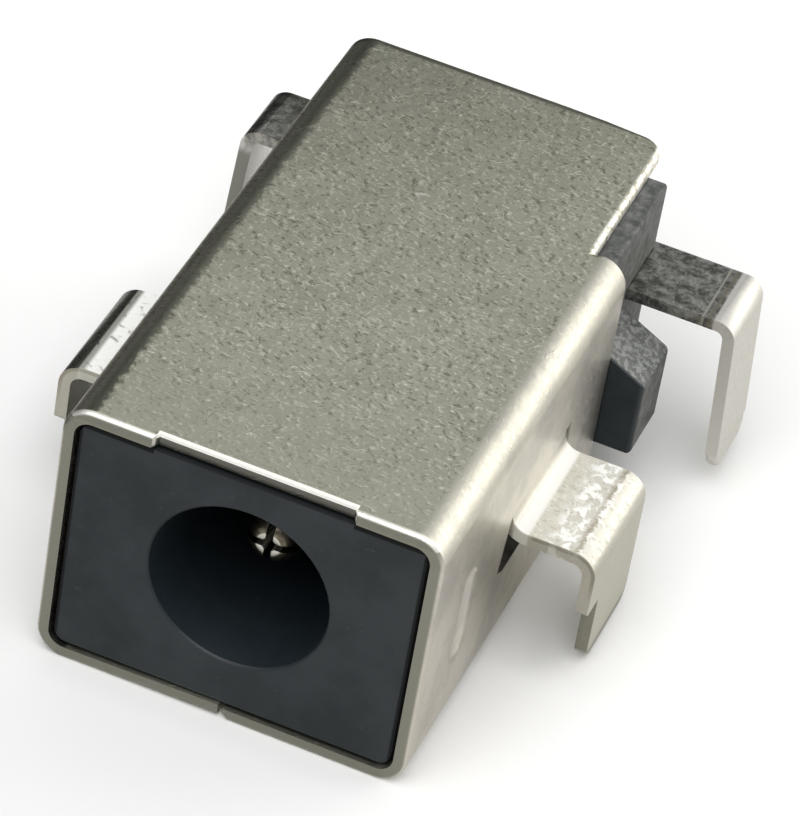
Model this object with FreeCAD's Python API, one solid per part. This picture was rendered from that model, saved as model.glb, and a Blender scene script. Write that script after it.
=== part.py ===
"""DC barrel jack that sits in a cut-out of a circuit board.

A plated sheet shell is folded round a moulded insulator. A turned centre pin stands in
the socket, a leaf spring presses on the barrel of the plug, and both have a terminal
that leaves the insulator at the back. Two legs lanced out of the shell carry the jack.

Millimetres. The origin is the centre of the socket on the front edge of the shell.
X is across the jack, Y runs into it from the mouth, Z is up.
"""
import FreeCAD, Part
import math
import os

from FreeCAD import Vector

os.makedirs("parts", exist_ok=True)

# Shell: one folded sheet
SHEET = 0.3
SHELL_WIDTH = 9.0
SHELL_HEIGHT = 7.1
AXIS_ABOVE_MIDDLE = 0.2
FOLD_RADIUS = 0.7
WALL_LENGTH = 11.35
TONGUE_LENGTH = 16.3
TONGUE_CUT_EDGE = 3.62
TONGUE_CORNER = 0.6
LEFT_STRIP_HEIGHT = 1.15
MOUTH_EDGE_ROUND = 0.11
NOTCH_WIDTH = 4.6
NOTCH_DEPTH = 0.2
NOTCH_SLANT = 0.12
SEAM_X = 0.05
SEAM_GAP = 0.1
SEAM_EDGE_ROUND = 0.15
SEAM_LIFT = 0.07

# Shell: the two legs and the windows beside them
LEG_FRONT = 5.15
LEG_WIDTH = 3.36
LEG_TOP = 0.0
LEG_REACH = 6.63
LEG_ROOT_ROUND = 0.4
LEG_BEND_ROUND = 0.3
LEG_SHOULDER_DROP = 1.7
LEG_SHOULDER_WIDTH = 0.75
LEG_TIP_CORNER = 0.35
LEG_TIP_ABOVE_BASE = 0.2
SHOULDER_ROUND = 0.15
WINDOW_FRONT_LEAN = 0.42
WINDOW_DROP = 1.25
WINDOW_REAR_GAP = 0.35
WINDOW_RELIEF_RISE = 0.1
WINDOW_CORNER = 0.2

# Shell: dimples that hold the insulator
DIMPLE_Y = 2.43
DIMPLE_Z = -0.5
DIMPLE_WIDTH = 1.0
DIMPLE_LENGTH = 2.7
DIMPLE_DEPTH = 0.15

# Insulator
HOUSING_GAP = 0.1
FACE_SETBACK = 0.1
HOUSING_LENGTH = 15.25
HOUSING_EDGE_ROUND = 0.1
TONGUE_GAP = 0.03
MOUTH_RADIUS = 2.15
MOUTH_LENGTH = 1.2
MOUTH_CHAMFER = 0.05
MOUTH_STEP_LENGTH = 0.5
BORE_RADIUS = 2.1
BORE_LENGTH = 10.2
LUG_GAP = 0.06
LUG_LENGTH = 1.75
LUG_REACH = 5.42
LUG_TOP_AT_WALL = 0.52
LUG_TOP_AT_END = 0.03
LUG_BOTTOM = -1.97
LUG_ROOT = 0.5
LUG_EDGE_ROUND = 0.12
FIT = 0.03
SLOT_FIT = 0.05

# Centre pin
PIN_RADIUS = 0.65
PIN_TIP_RADIUS = 0.34
PIN_TIP_DEPTH = 1.8
PIN_NOSE_LENGTH = 0.5
PIN_NOSE_BULGE = 0.1
PIN_SLOT_WIDTH = 0.18
PIN_SLOT_LENGTH = 2.6
PIN_BORE_RADIUS = 0.17
SHANK_RADIUS = 0.9
COLLAR_RADIUS = 1.1
COLLAR_LENGTH = 1.1
TAIL_RADIUS = 0.5
RIVET_RADIUS = 0.78
RIVET_CROWN_RADIUS = 0.62
RIVET_HEIGHT = 0.28

# Terminals
STRIP = 0.3
STRIP_BEND = 0.2
TERMINAL_FRONT = 13.33
TERMINAL_TIP_ABOVE_BASE = 0.48
TERMINAL_TIP_ROUND = 0.6
TERMINAL_SPLAY = 3.5
PIN_TERMINAL_WIDTH = 1.9
PIN_TERMINAL_TOP = 1.78
PIN_TERMINAL_REACH = 5.88
PIN_TAB_HALF_WIDTH = 1.0
PIN_TAB_BELOW_AXIS = 1.0
SPRING_TERMINAL_WIDTH = 2.08
SPRING_TERMINAL_TOP = 1.15
SPRING_TERMINAL_REACH = 6.87

# Leaf spring on the barrel of the plug
SPRING_OUTER = 2.9
SPRING_HEIGHT = 1.6
SPRING_BEND_START = 9.0
SPRING_LEAN = 9.0
SPRING_LEAN_ROUND = 3.0
SPRING_LEAN_LENGTH = 4.4
SPRING_NOSE_TURN = 32.0
SPRING_NOSE_ROUND = 0.6
SPRING_FLARE_LENGTH = 1.0
SPRING_END_GAP = 0.15

# Worked out from the sizes above
HALF_WIDTH = SHELL_WIDTH / 2
SHELL_TOP = SHELL_HEIGHT / 2 - AXIS_ABOVE_MIDDLE
SHELL_BASE = -SHELL_HEIGHT / 2 - AXIS_ABOVE_MIDDLE
LEG_BACK = LEG_FRONT + LEG_WIDTH
LEG_ROOT_TOP = LEG_TOP + LEG_ROOT_ROUND
TERMINAL_TIP = SHELL_BASE + TERMINAL_TIP_ABOVE_BASE
HOUSING_HALF = HALF_WIDTH - SHEET - HOUSING_GAP
HOUSING_BASE = SHELL_BASE + SHEET + HOUSING_GAP
HOUSING_CORNER = FOLD_RADIUS - SHEET - HOUSING_GAP
BLOCK_FRONT = WALL_LENGTH + LUG_GAP

# Cutters reach past the sheet or far out of the part, and points this near are the same
PAST = 0.5
FAR = 40.0
NEAR = 1e-4


def box(x0, x1, y0, y1, z0, z1):
    """A block between two corners."""
    return Part.makeBox(x1 - x0, y1 - y0, z1 - z0, Vector(x0, y0, z0))


def across(point, depth=0.0):
    """A section point (x, z) in the plane across the jack at a depth."""
    return Vector(point[0], depth, point[1])


def along(point, side=0.0):
    """A section point (y, z) in the plane along the jack, seen from the side."""
    return Vector(side, point[0], point[1])


def plan(point, level=0.0):
    """A section point (y, x) in the level plane."""
    return Vector(point[1], point[0], level)


def strip_face(start, heading, steps, thickness, place):
    """The edge view of a bent sheet.

    The path runs along the right side of the sheet. A step is ("line", length) or
    ("bend", degrees, inner radius), where a positive bend turns to the left.
    """
    right_point = start
    angle = math.radians(heading)

    def left_of(point, direction, distance):
        return (point[0] - distance * math.sin(direction),
                point[1] + distance * math.cos(direction))

    first_left = left_of(right_point, angle, thickness)
    right_edges = []
    left_edges = []
    left_point = first_left
    for step in steps:
        if step[0] == "line":
            length = step[1]
            new_right = (right_point[0] + length * math.cos(angle),
                         right_point[1] + length * math.sin(angle))
            new_left = left_of(new_right, angle, thickness)
            right_edges.append(Part.LineSegment(place(right_point), place(new_right)).toShape())
            left_edges.append(Part.LineSegment(place(new_left), place(left_point)).toShape())
        else:
            turn = math.radians(step[1])
            inner = step[2]
            side = 1 if turn > 0 else -1
            reach = inner + thickness if turn > 0 else inner
            centre = left_of(right_point, angle, side * reach)

            def on_arc(radius, share):
                direction = angle + turn * share - side * math.pi / 2
                return (centre[0] + radius * math.cos(direction),
                        centre[1] + radius * math.sin(direction))

            right_radius = reach
            left_radius = inner if turn > 0 else inner + thickness
            new_right = on_arc(right_radius, 1.0)
            new_left = on_arc(left_radius, 1.0)
            right_edges.append(Part.Arc(place(right_point), place(on_arc(right_radius, 0.5)),
                                        place(new_right)).toShape())
            left_edges.append(Part.Arc(place(new_left), place(on_arc(left_radius, 0.5)),
                                       place(left_point)).toShape())
            angle += turn
        right_point = new_right
        left_point = new_left
    end_cap = Part.LineSegment(place(right_point), place(left_point)).toShape()
    start_cap = Part.LineSegment(place(first_left), place(start)).toShape()
    edges = right_edges + [end_cap] + left_edges[::-1] + [start_cap]
    return Part.Face(Part.Wire(edges))


def mirrored(shape):
    """The same shape on the other side of the jack."""
    return shape.mirror(Vector(0, 0, 0), Vector(1, 0, 0))


def edges_where(shape, test):
    """The edges whose every sampled point passes the test."""
    samples = 5
    return [edge for edge in shape.Edges if all(test(point) for point in edge.discretize(samples))]


def bar_with_round_edges(base, top, left_top_round, right_top_round, y0, y1):
    """The section of the insulator between two depths, with its long edges rounded."""
    bar = box(-HOUSING_HALF, HOUSING_HALF, y0, y1, base, top)
    rounds = [(-HOUSING_HALF, base, HOUSING_CORNER), (HOUSING_HALF, base, HOUSING_CORNER),
              (-HOUSING_HALF, top, left_top_round), (HOUSING_HALF, top, right_top_round)]
    for x, z, radius in rounds:
        long_edge = edges_where(bar, lambda p: abs(p.x - x) < NEAR and abs(p.z - z) < NEAR)
        bar = bar.makeFillet(radius, long_edge)
    return bar


def side_corner_cutter(y, z, size, into_y, into_z, left, right):
    """What is left outside a rounded corner in the plane seen from the side."""
    centre_y = y + into_y * size
    centre_z = z + into_z * size
    block = box(left, right, min(y - into_y, centre_y), max(y - into_y, centre_y),
                min(z - into_z, centre_z), max(z - into_z, centre_z))
    post = Part.makeCylinder(size, right - left, Vector(left, centre_y, centre_z), Vector(1, 0, 0))
    return block.cut(post)


def prism(points, place, push):
    """A closed outline of straight lines, pushed into a solid."""
    corners = [place(point) for point in points]
    return Part.Face(Part.makePolygon(corners + corners[:1])).extrude(push)


def dimple_form(grow):
    """The punch that presses a dimple into the right wall, grown by an offset."""
    half = DIMPLE_WIDTH / 2
    radius = (half ** 2 + DIMPLE_DEPTH ** 2) / (2 * DIMPLE_DEPTH)
    centre_x = HALF_WIDTH - DIMPLE_DEPTH + radius
    straight = max(DIMPLE_LENGTH - DIMPLE_WIDTH, DIMPLE_DEPTH)
    low = DIMPLE_Z - straight / 2
    punch = Part.makeCylinder(radius + grow, straight, Vector(centre_x, DIMPLE_Y, low))
    for level in (low, low + straight):
        punch = punch.fuse(Part.makeSphere(radius + grow, Vector(centre_x, DIMPLE_Y, level)))
    return punch


def window():
    """The opening that the right leg leaves in the wall, seen from the side."""
    top = LEG_ROOT_TOP
    bottom = LEG_TOP - WINDOW_DROP
    back = LEG_BACK + WINDOW_REAR_GAP
    outline = [(LEG_FRONT, top),
               (LEG_FRONT - WINDOW_FRONT_LEAN, bottom + WINDOW_CORNER),
               (LEG_FRONT, bottom),
               (back, bottom),
               (back, top + WINDOW_RELIEF_RISE),
               (LEG_BACK, top + WINDOW_RELIEF_RISE),
               (LEG_BACK, top)]
    inner = HALF_WIDTH - SHEET * 2
    return prism(outline, lambda point: along(point, inner), Vector(SHEET * 3, 0, 0))


def shell_leg():
    """The right leg: out of the wall, then down to a pin that is narrower in front."""
    tip = SHELL_BASE + LEG_TIP_ABOVE_BASE
    inner_wall = HALF_WIDTH - SHEET
    plate_end = LEG_REACH - SHEET - LEG_BEND_ROUND
    plate_start = HALF_WIDTH + LEG_ROOT_ROUND
    drop = LEG_TOP - SHEET - LEG_BEND_ROUND - tip
    steps = [("bend", 90, LEG_ROOT_ROUND),
             ("line", plate_end - plate_start),
             ("bend", -90, LEG_BEND_ROUND),
             ("line", drop)]
    section = strip_face((inner_wall, LEG_ROOT_TOP), -90, steps, SHEET,
                         lambda point: across(point, LEG_FRONT))
    leg = section.extrude(Vector(0, LEG_WIDTH, 0))
    inside = LEG_REACH - SHEET * 2
    outside = LEG_REACH + SHEET
    shoulder = LEG_TOP - LEG_SHOULDER_DROP
    pin_front = LEG_FRONT + LEG_SHOULDER_WIDTH
    leg = leg.cut(box(inside, outside, LEG_FRONT - PAST, pin_front, tip - PAST, shoulder))
    leg = leg.cut(side_corner_cutter(LEG_FRONT, shoulder, SHOULDER_ROUND, 1, 1, inside, outside))
    leg = leg.cut(side_corner_cutter(pin_front, tip, LEG_TIP_CORNER, 1, 1, inside, outside))
    leg = leg.cut(side_corner_cutter(LEG_BACK, tip, LEG_TIP_CORNER, -1, 1, inside, outside))
    return leg


def make_shell():
    """The folded sheet with its seam below, its tongue, windows, dimples and legs."""
    flat_height = SHELL_HEIGHT - 2 * FOLD_RADIUS
    flat_width = SHELL_WIDTH - 2 * FOLD_RADIUS
    fold = FOLD_RADIUS - SHEET
    right_start = SEAM_X + SEAM_GAP / 2
    left_flange = HALF_WIDTH - FOLD_RADIUS + SEAM_X - SEAM_GAP / 2
    lift = math.degrees(math.asin(SEAM_LIFT / left_flange))
    steps = [("line", HALF_WIDTH - FOLD_RADIUS - right_start),
             ("bend", 90, fold),
             ("line", flat_height),
             ("bend", 90, fold),
             ("line", flat_width),
             ("bend", 90, fold),
             ("line", flat_height),
             ("bend", 90 + lift, fold),
             ("line", left_flange)]
    section = strip_face((right_start, SHELL_BASE), 0, steps, SHEET, across)
    sheet = section.extrude(Vector(0, TONGUE_LENGTH, 0))

    seam_corner = edges_where(sheet, lambda p: abs(p.x - right_start) < NEAR
                              and abs(p.z - SHELL_BASE) < NEAR)
    sheet = sheet.makeFillet(SEAM_EDGE_ROUND, seam_corner)

    def on_outer_mouth(p):
        outer = (abs(p.x) > HALF_WIDTH - NEAR or p.z > SHELL_TOP - NEAR
                 or math.hypot(max(abs(p.x) - HALF_WIDTH + FOLD_RADIUS, 0),
                               max(p.z - SHELL_TOP + FOLD_RADIUS, 0)) > FOLD_RADIUS - NEAR)
        return abs(p.y) < NEAR and outer and p.z > SHELL_BASE + FOLD_RADIUS - NEAR

    sheet = sheet.makeFillet(MOUTH_EDGE_ROUND, edges_where(sheet, on_outer_mouth))

    notch_level = SHELL_TOP - SHEET * 1.5
    notch_floor = NOTCH_WIDTH / 2
    notch_mouth = notch_floor + NOTCH_SLANT
    notch = prism([(-PAST, -notch_mouth), (-PAST, notch_mouth), (0, notch_mouth),
                   (NOTCH_DEPTH, notch_floor), (NOTCH_DEPTH, -notch_floor), (0, -notch_mouth)],
                  lambda point: plan(point, notch_level), Vector(0, 0, SHEET * 2))
    sheet = sheet.cut(notch)

    strip_base = SHELL_TOP - LEFT_STRIP_HEIGHT
    sheet = sheet.cut(box(-FAR, FAR, WALL_LENGTH, FAR, -FAR, strip_base))
    sheet = sheet.cut(box(TONGUE_CUT_EDGE, FAR, WALL_LENGTH, FAR, -FAR, FAR))
    tongue_corner = edges_where(sheet, lambda p: abs(p.x - TONGUE_CUT_EDGE) < NEAR
                                and abs(p.y - TONGUE_LENGTH) < NEAR)
    sheet = sheet.makeFillet(TONGUE_CORNER, tongue_corner)

    inner_wall = HALF_WIDTH - SHEET
    pressed = dimple_form(SHEET).common(box(0, inner_wall + SHEET / 2, 0, WALL_LENGTH,
                                            SHELL_BASE + FOLD_RADIUS, SHELL_TOP - FOLD_RADIUS))
    hollow = dimple_form(0.0)
    opening = window()
    leg = shell_leg()
    for side in (lambda shape: shape, mirrored):
        sheet = sheet.fuse(side(pressed)).cut(side(hollow))
        sheet = sheet.cut(side(opening)).fuse(side(leg))
    return sheet.removeSplitter()


def make_centre_pin():
    """Turned pin: slotted nose, thicker shank in the insulator, collar, riveted tail."""
    tip = PIN_TIP_DEPTH
    shoulder = tip + PIN_NOSE_LENGTH
    collar_back = TERMINAL_FRONT
    collar_front = collar_back - COLLAR_LENGTH
    rivet_front = TERMINAL_FRONT + STRIP
    rivet_back = rivet_front + RIVET_HEIGHT
    taper = PIN_RADIUS - PIN_TIP_RADIUS
    slant = math.hypot(taper, PIN_NOSE_LENGTH)
    nose_middle = Vector(PIN_TIP_RADIUS + taper / 2 + PIN_NOSE_BULGE * PIN_NOSE_LENGTH / slant,
                         tip + PIN_NOSE_LENGTH / 2 - PIN_NOSE_BULGE * taper / slant, 0)
    nose = Part.Arc(Vector(PIN_TIP_RADIUS, tip, 0), nose_middle,
                    Vector(PIN_RADIUS, shoulder, 0)).toShape()
    corners = [(PIN_RADIUS, shoulder), (PIN_RADIUS, BORE_LENGTH), (SHANK_RADIUS, BORE_LENGTH),
               (SHANK_RADIUS, collar_front), (COLLAR_RADIUS, collar_front),
               (COLLAR_RADIUS, collar_back), (TAIL_RADIUS, collar_back), (TAIL_RADIUS, rivet_front),
               (RIVET_RADIUS, rivet_front), (RIVET_CROWN_RADIUS, rivet_back), (0, rivet_back),
               (0, tip), (PIN_TIP_RADIUS, tip)]
    lines = [Part.LineSegment(Vector(a[0], a[1], 0), Vector(b[0], b[1], 0)).toShape()
             for a, b in zip(corners, corners[1:])]
    half = Part.Face(Part.Wire([nose] + lines))
    pin = half.revolve(Vector(0, 0, 0), Vector(0, 1, 0), 360)
    slot_front = tip - PAST
    slot_back = tip + PIN_SLOT_LENGTH
    half_slot = PIN_SLOT_WIDTH / 2
    wide = PIN_RADIUS + PAST
    pin = pin.cut(box(-wide, wide, slot_front, slot_back, -half_slot, half_slot))
    pin = pin.cut(box(-half_slot, half_slot, slot_front, slot_back, -wide, wide))
    bore = Part.makeCylinder(PIN_BORE_RADIUS, slot_back - slot_front, Vector(0, slot_front, 0),
                             Vector(0, 1, 0))
    return pin.cut(bore)


def terminal_arm(start_x, top, reach, width):
    """Level arm to the right that turns down into a solder leg with a round tip."""
    bottom = top - STRIP
    arm = reach - STRIP - STRIP_BEND - start_x
    turn = 90 - TERMINAL_SPLAY
    drop = (bottom - STRIP_BEND - TERMINAL_TIP) / math.cos(math.radians(TERMINAL_SPLAY))
    section = strip_face((start_x, bottom), 0,
                         [("line", arm), ("bend", -turn, STRIP_BEND), ("line", drop)],
                         STRIP, lambda point: across(point, TERMINAL_FRONT))
    strip = section.extrude(Vector(0, width, 0))
    low = TERMINAL_TIP - STRIP * math.sin(math.radians(TERMINAL_SPLAY))
    inside = reach - STRIP * 3
    outside = FAR
    for y, into in ((TERMINAL_FRONT, 1), (TERMINAL_FRONT + width, -1)):
        strip = strip.cut(side_corner_cutter(y, low, TERMINAL_TIP_ROUND, into, 1, inside, outside))
    return strip


def make_pin_terminal():
    """Stamped strip riveted to the tail of the centre pin, with its leg on the left."""
    bottom = PIN_TERMINAL_TOP - STRIP
    tab_back = TERMINAL_FRONT + STRIP
    rise = bottom - STRIP_BEND + PIN_TAB_BELOW_AXIS
    back_run = PIN_TERMINAL_WIDTH - STRIP - STRIP_BEND
    section = strip_face((tab_back, -PIN_TAB_BELOW_AXIS), 90,
                         [("line", rise), ("bend", -90, STRIP_BEND), ("line", back_run)],
                         STRIP, lambda point: along(point, -PIN_TAB_HALF_WIDTH))
    tab = section.extrude(Vector(2 * PIN_TAB_HALF_WIDTH, 0, 0))
    hole = Part.makeCylinder(TAIL_RADIUS, STRIP * 3, Vector(0, TERMINAL_FRONT - STRIP, 0),
                             Vector(0, 1, 0))
    arm = terminal_arm(PIN_TAB_HALF_WIDTH, PIN_TERMINAL_TOP, PIN_TERMINAL_REACH,
                       PIN_TERMINAL_WIDTH)
    return tab.cut(hole).fuse(mirrored(arm)).removeSplitter()


def make_barrel_spring():
    """Leaf spring beside the bore, with its arm and leg on the right."""
    half = SPRING_HEIGHT / 2
    leaf_back = TERMINAL_FRONT + SPRING_TERMINAL_WIDTH
    leaf_steps = [("line", leaf_back - SPRING_BEND_START),
                  ("bend", SPRING_LEAN, SPRING_LEAN_ROUND),
                  ("line", SPRING_LEAN_LENGTH),
                  ("bend", -SPRING_NOSE_TURN, SPRING_NOSE_ROUND),
                  ("line", SPRING_FLARE_LENGTH)]
    leaf = strip_face((leaf_back, SPRING_OUTER), 180, leaf_steps, STRIP,
                      lambda point: plan(point, -half)).extrude(Vector(0, 0, SPRING_HEIGHT))
    bottom = SPRING_TERMINAL_TOP - STRIP
    root_steps = [("line", bottom - STRIP_BEND + half), ("bend", -90, STRIP_BEND), ("line", STRIP)]
    root = strip_face((SPRING_OUTER, -half), 90, root_steps, STRIP,
                      lambda point: across(point, TERMINAL_FRONT))
    root = root.extrude(Vector(0, SPRING_TERMINAL_WIDTH, 0))
    arm = terminal_arm(SPRING_OUTER + STRIP_BEND, SPRING_TERMINAL_TOP, SPRING_TERMINAL_REACH,
                       SPRING_TERMINAL_WIDTH)
    return leaf.fuse([root, arm]).removeSplitter()


def housing_lug():
    """The block on the right of the insulator, behind the edge of the shell wall."""
    inner = HOUSING_HALF - LUG_ROOT
    slope = (LUG_TOP_AT_END - LUG_TOP_AT_WALL) / (LUG_REACH - HALF_WIDTH)
    top_inside = LUG_TOP_AT_WALL + slope * (inner - HALF_WIDTH)
    outline = [(inner, LUG_BOTTOM), (LUG_REACH, LUG_BOTTOM), (LUG_REACH, LUG_TOP_AT_END),
               (inner, top_inside)]
    lug = prism(outline, lambda point: across(point, BLOCK_FRONT), Vector(0, LUG_LENGTH, 0))
    end_edges = edges_where(lug, lambda p: abs(p.x - LUG_REACH) < NEAR)
    return lug.makeFillet(LUG_EDGE_ROUND, end_edges)


def make_housing():
    """Moulded insulator: socket, spring slot, pockets for the terminals, lugs.

    Behind the end of the right wall it stands a little taller, up to the tongue, and
    its free right corner is nearly sharp.
    """
    top = SHELL_TOP - SHEET - HOUSING_GAP
    block_top = SHELL_TOP - SHEET - TONGUE_GAP
    body = bar_with_round_edges(HOUSING_BASE, top, HOUSING_CORNER, HOUSING_CORNER,
                                FACE_SETBACK, BLOCK_FRONT)
    block = bar_with_round_edges(HOUSING_BASE, block_top, HOUSING_CORNER, HOUSING_EDGE_ROUND,
                                 BLOCK_FRONT, HOUSING_LENGTH)
    back_edges = edges_where(block, lambda p: abs(p.y - HOUSING_LENGTH) < NEAR)
    block = block.makeFillet(HOUSING_EDGE_ROUND, back_edges)
    lug = housing_lug()
    body = body.fuse([block, lug, mirrored(lug)])

    into = Vector(0, 1, 0)
    mouth_back = FACE_SETBACK + MOUTH_LENGTH
    body = body.cut(Part.makeCylinder(MOUTH_RADIUS, MOUTH_LENGTH, Vector(0, FACE_SETBACK, 0), into))
    body = body.cut(Part.makeCone(MOUTH_RADIUS + MOUTH_CHAMFER, MOUTH_RADIUS, MOUTH_CHAMFER,
                                  Vector(0, FACE_SETBACK, 0), into))
    body = body.cut(Part.makeCone(MOUTH_RADIUS, BORE_RADIUS, MOUTH_STEP_LENGTH,
                                  Vector(0, mouth_back, 0), into))
    body = body.cut(Part.makeCylinder(BORE_RADIUS, BORE_LENGTH - mouth_back,
                                      Vector(0, mouth_back, 0), into))

    collar_front = TERMINAL_FRONT - COLLAR_LENGTH
    body = body.cut(Part.makeCylinder(SHANK_RADIUS + FIT, collar_front - BORE_LENGTH + PAST * 2,
                                      Vector(0, BORE_LENGTH - PAST, 0), into))
    body = body.cut(Part.makeCylinder(COLLAR_RADIUS + FIT, FAR, Vector(0, collar_front, 0), into))

    pocket_front = TERMINAL_FRONT - FIT
    tab = PIN_TAB_HALF_WIDTH + SLOT_FIT
    pin_top = PIN_TERMINAL_TOP + SLOT_FIT
    pin_bottom = PIN_TERMINAL_TOP - STRIP - SLOT_FIT
    body = body.cut(box(-tab, tab, pocket_front, FAR, -PIN_TAB_BELOW_AXIS - SLOT_FIT, pin_top))
    body = body.cut(box(-FAR, 0, pocket_front, FAR, pin_bottom, pin_top))

    leaf_inner = SPRING_OUTER - STRIP - SLOT_FIT
    leaf_outer = SPRING_OUTER + SLOT_FIT
    half = SPRING_HEIGHT / 2 + SLOT_FIT
    arm_top = SPRING_TERMINAL_TOP + SLOT_FIT
    arm_bottom = SPRING_TERMINAL_TOP - STRIP - SLOT_FIT
    inside_bore = BORE_RADIUS / 2
    slot_front = make_barrel_spring().optimalBoundingBox().YMin - SPRING_END_GAP
    body = body.cut(box(inside_bore, leaf_outer, slot_front, BORE_LENGTH, -half, half))
    body = body.cut(box(leaf_inner, leaf_outer, BORE_LENGTH - PAST, FAR, -half, half))
    body = body.cut(box(leaf_inner, leaf_outer, pocket_front, FAR, -half, arm_top))
    body = body.cut(box(leaf_inner, FAR, pocket_front, FAR, arm_bottom, arm_top))
    bend_end = SPRING_OUTER + STRIP_BEND
    body = body.cut(box(leaf_inner, bend_end, pocket_front, FAR, arm_bottom - STRIP_BEND, arm_top))

    seat = dimple_form(SHEET + HOUSING_GAP / 2)
    body = body.cut(seat).cut(mirrored(seat))
    return body.removeSplitter()


NODES = {
    "shell": make_shell,
    "housing": make_housing,
    "centre_pin": make_centre_pin,
    "pin_terminal": make_pin_terminal,
    "barrel_spring": make_barrel_spring,
}

for name, make in NODES.items():
    shape = make()
    if len(shape.Solids) != 1:
        raise SystemExit("%s came out as %d solids" % (name, len(shape.Solids)))
    solid = shape.Solids[0]
    solid.exportStep("parts/%s.step" % name)
    size = solid.optimalBoundingBox()
    print("%s volume %.2f mm3, x %.2f to %.2f, y %.2f to %.2f, z %.2f to %.2f, valid %s"
          % (name, solid.Volume, size.XMin, size.XMax, size.YMin, size.YMax,
             size.ZMin, size.ZMax, solid.isValid()))
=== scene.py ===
# %% [markdown]
# # A DC barrel jack, dressed for a studio photograph
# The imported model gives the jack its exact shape: a folded sheet shell, a moulded
# insulator, a centre pin, the pin's terminal and the leaf spring with its terminal.
# Here each piece gets softened edges, a finish and light. Everything is in metres, and
# the jack is only 16 millimetres long, so lengths are written in millimetres times MM.

# %% Load the frame
import bpy
import math
from mathutils import Matrix, Vector


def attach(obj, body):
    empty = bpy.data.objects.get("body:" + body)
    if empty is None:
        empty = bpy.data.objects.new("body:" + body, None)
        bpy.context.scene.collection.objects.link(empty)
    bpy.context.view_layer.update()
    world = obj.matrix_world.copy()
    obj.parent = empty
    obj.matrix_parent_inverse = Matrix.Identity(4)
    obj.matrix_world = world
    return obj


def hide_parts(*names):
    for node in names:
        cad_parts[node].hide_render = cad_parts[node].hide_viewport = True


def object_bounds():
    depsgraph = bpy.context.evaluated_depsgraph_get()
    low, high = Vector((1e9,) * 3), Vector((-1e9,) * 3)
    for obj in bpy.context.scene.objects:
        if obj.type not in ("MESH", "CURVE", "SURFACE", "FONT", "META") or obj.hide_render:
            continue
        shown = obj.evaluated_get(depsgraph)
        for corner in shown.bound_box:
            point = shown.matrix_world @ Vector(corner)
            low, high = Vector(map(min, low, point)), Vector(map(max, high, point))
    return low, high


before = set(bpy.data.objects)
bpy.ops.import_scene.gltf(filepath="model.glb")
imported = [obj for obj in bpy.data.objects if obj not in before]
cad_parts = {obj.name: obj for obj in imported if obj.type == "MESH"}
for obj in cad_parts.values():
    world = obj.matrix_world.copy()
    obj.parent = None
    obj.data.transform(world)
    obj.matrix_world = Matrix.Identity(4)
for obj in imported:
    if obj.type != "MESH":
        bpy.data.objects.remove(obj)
cad_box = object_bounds()
MM = 0.001
print("nodes:", sorted(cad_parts))

# %% [markdown]
# ## The camera
# The photograph looks down on the mouth from a little right of the middle, with the
# camera rolled so that the jack points up and to the right. A long lens far away would
# flatten it, but here the back is clearly smaller than the front, so the lens stands
# only thirteen jack widths off. The camera is aimed by three angles and then slid
# sideways without turning, which is how the picture was matched point by point.

# %% Aim the camera
SHELL_WIDTH = 9.0 * MM
AIM_HEIGHT = -0.2 * MM
CAMERA_AZIMUTH = math.radians(15.668)
CAMERA_ELEVATION = math.radians(39.0645)
CAMERA_ROLL = math.radians(10.3137)
CAMERA_DISTANCE = 12.9099 * SHELL_WIDTH
SLIDE_RIGHT = 0.40124 * SHELL_WIDTH
SLIDE_UP = 0.46229 * SHELL_WIDTH
LENS = 234.71

to_camera = Vector((math.sin(CAMERA_AZIMUTH) * math.cos(CAMERA_ELEVATION),
                    -math.cos(CAMERA_AZIMUTH) * math.cos(CAMERA_ELEVATION),
                    math.sin(CAMERA_ELEVATION)))
level_right = Vector((0, 0, 1)).cross(to_camera).normalized()
level_up = to_camera.cross(level_right)
view_right = math.cos(CAMERA_ROLL) * level_right + math.sin(CAMERA_ROLL) * level_up
view_up = to_camera.cross(view_right)
place = (Vector((0, 0, AIM_HEIGHT)) + CAMERA_DISTANCE * to_camera
         + SLIDE_RIGHT * view_right + SLIDE_UP * view_up)

bpy.ops.object.camera_add()
camera = bpy.context.object
camera.name = "camera"
turn = Matrix((view_right, view_up, to_camera)).transposed().to_4x4()
camera.matrix_world = Matrix.Translation(place) @ turn
camera.data.lens = LENS
camera.data.clip_start = 5 * MM
bpy.context.scene.camera = camera
print("camera at", [round(value / MM, 1) for value in place], "mm")

# %% [markdown]
# ## The floor
# The jack stands on a plain pale floor. Plated metal mirrors that floor in its walls and
# edges, and there it would look too bright. So the floor's material asks what kind of ray
# has come: the camera sees it nearly white, and mirrors see it a little darker and warmer.

# %% Floor
FLOOR_SIZE = 3.0
FLOOR_SEEN, FLOOR_MIRRORED = (0.93, 0.93, 0.925, 1), (0.66, 0.645, 0.62, 1)
FLOOR_ROUGHNESS, FLOOR_SHINE = 0.9, 0.1
floor_level = cad_box[0][2]


def plain_material(name):
    """An empty material with one shader, and the handles to its nodes and links."""
    material = bpy.data.materials.new(name)
    material.use_nodes = True
    return material, material.node_tree.nodes, material.node_tree.links


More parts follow.
